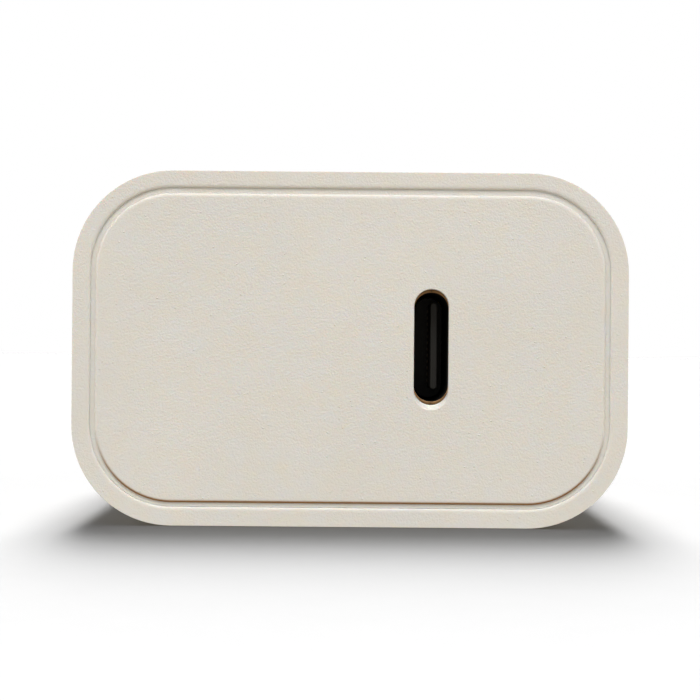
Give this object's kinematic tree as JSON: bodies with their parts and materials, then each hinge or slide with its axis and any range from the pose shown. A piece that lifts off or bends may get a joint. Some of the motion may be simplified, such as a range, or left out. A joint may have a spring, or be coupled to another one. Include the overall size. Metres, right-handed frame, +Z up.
{
  "type": "usb wall charger",
  "caption": "Compact wall charger: rounded rectangular housing, inset port cover with one off-centre USB-C port, and a two-blade plug that folds into the wall side.",
  "frame": {"origin": "middle of the flat face that meets the wall", "axes": "+Y out of the wall face, along the open blades; the port face looks along -Y; +Z up, with the charger standing on a long flat side; +X to the right when facing the port"},
  "size_m": [0.0428, 0.0553, 0.0274],
  "materials": {
    "shell_plastic": "warm off-white moulded plastic, satin with a very fine grain",
    "plug_plastic": "moulded plastic, satin",
    "blade_metal": "nickel-plated brass, fine drawn lines",
    "bracket_plastic": "black glass-filled plastic",
    "spring_bronze": "bright phosphor bronze strip",
    "steel": "plated steel",
    "port_plastic": "black liquid-crystal polymer",
    "board": "green solder mask",
    "ferrite": "sintered grey ferrite",
    "bobbin_plastic": "black phenolic",
    "winding_tape": "yellow polyester tape",
    "copper": "enamelled copper wire",
    "capacitor_sleeve": "dark shrink sleeve",
    "capacitor_can": "bare drawn can",
    "film_capacitor": "yellow box capacitor",
    "disc_ceramic": "blue dipped coating",
    "fuse_body": "coated fuse",
    "chip": "black moulding compound",
    "heat_metal": "rolled sheet",
    "thermal_pad": "soft silicone pad",
    "insulation": "insulating paper"
  },
  "bodies": {
    "charger": {"main_housing": "shell_plastic", "front_cover": "shell_plastic", "rear_cover": "shell_plastic", "hinge_bracket": "bracket_plastic", "bracket_screw_left": "steel", "bracket_screw_right": "steel", "contact_spring_left": "spring_bronze", "contact_spring_right": "spring_bronze", "detent_spring": "steel", "usb_shell": "steel", "usb_insulator": "port_plastic", "usb_board": "board", "sync_rectifier": "chip", "pd_controller": "chip", "main_board": "board", "bridge_rectifier": "chip", "primary_controller": "chip", "optocoupler": "chip", "insulation_sheet": "insulation", "input_board": "board", "x_capacitor": "film_capacitor", "fuse": "fuse_body", "varistor": "disc_ceramic", "choke_core": "ferrite", "choke_winding_left": "copper", "choke_winding_right": "copper", "input_capacitor_left": "capacitor_sleeve", "input_capacitor_right": "capacitor_sleeve", "output_capacitor_front": "capacitor_can", "output_capacitor_rear": "capacitor_can", "filter_inductor": "ferrite", "inductor_winding": "copper", "y_capacitor": "disc_ceramic", "transformer_core_upper": "ferrite", "transformer_core_lower": "ferrite", "transformer_bobbin": "bobbin_plastic", "transformer_winding": "winding_tape", "heat_spreader": "heat_metal", "thermal_pad": "thermal_pad"},
    "plug": {"plug_carrier": "plug_plastic", "blade_left": "blade_metal", "blade_right": "blade_metal"}
  },
  "joints": [
    {"name": "plug_fold", "type": "hinge", "parent": "charger", "child": "plug", "pos_m": [0, -0.0036, 0.0088], "axis": [-1, 0, 0], "range_deg": [0, 90]}
  ]
}
